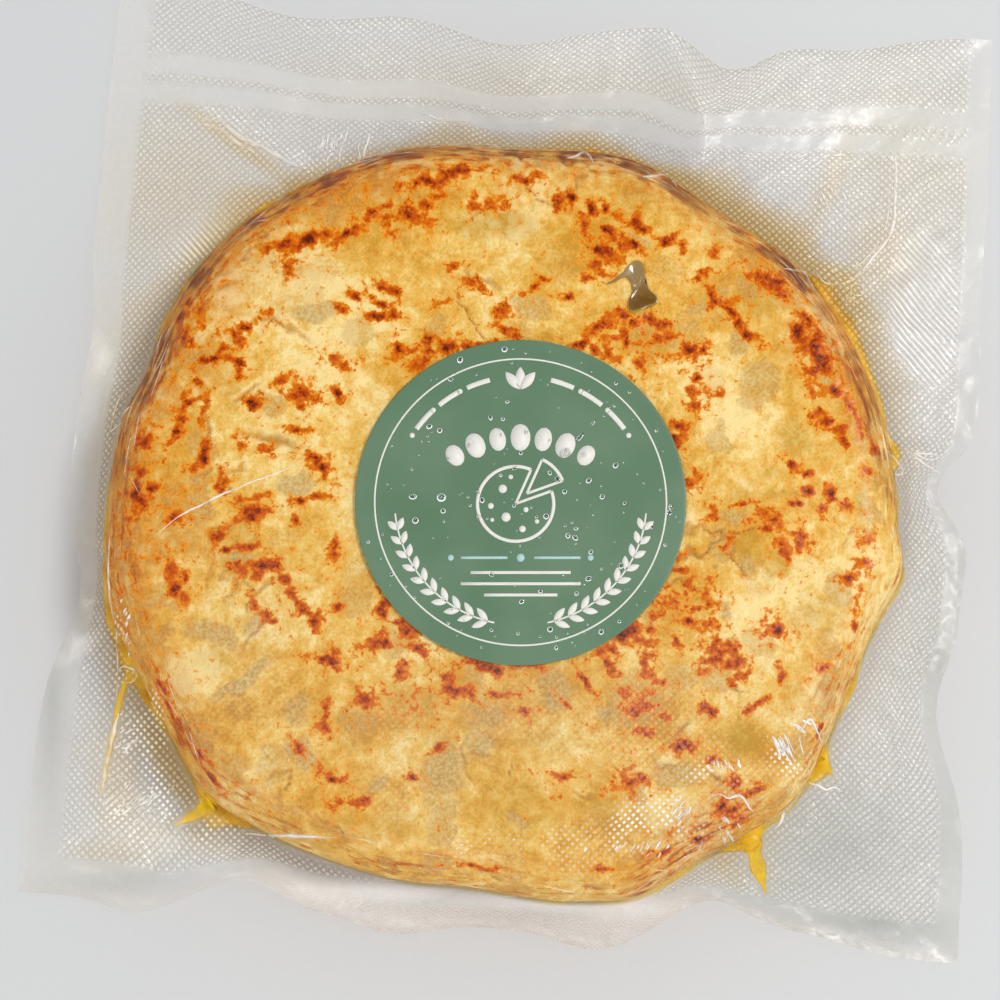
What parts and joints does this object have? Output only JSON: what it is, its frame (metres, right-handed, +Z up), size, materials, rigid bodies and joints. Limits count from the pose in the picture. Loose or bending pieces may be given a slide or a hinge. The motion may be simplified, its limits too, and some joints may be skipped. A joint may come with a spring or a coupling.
{
  "type": "vacuum-packed spanish omelette",
  "caption": "Thick round potato omelette, browned in patches, sealed under vacuum in a clear square bag with a wavy skirt of film and a round paper label on top.",
  "frame": {"origin": "middle of the pack's outline, on the surface that the omelette lies on", "axes": "+Z up out of the omelette's top face; +Y towards the bag's machine-sealed mouth, +X to the right seen from above with the mouth at the far side"},
  "size_m": [0.3092, 0.3196, 0.0358],
  "materials": {
    "omelette": "moist",
    "film": "clear, gloss",
    "label_paper": "satin"
  },
  "bodies": {
    "root": {"sealed_bag": "omelette", "round_label": "label_paper"}
  },
  "joints": []
}
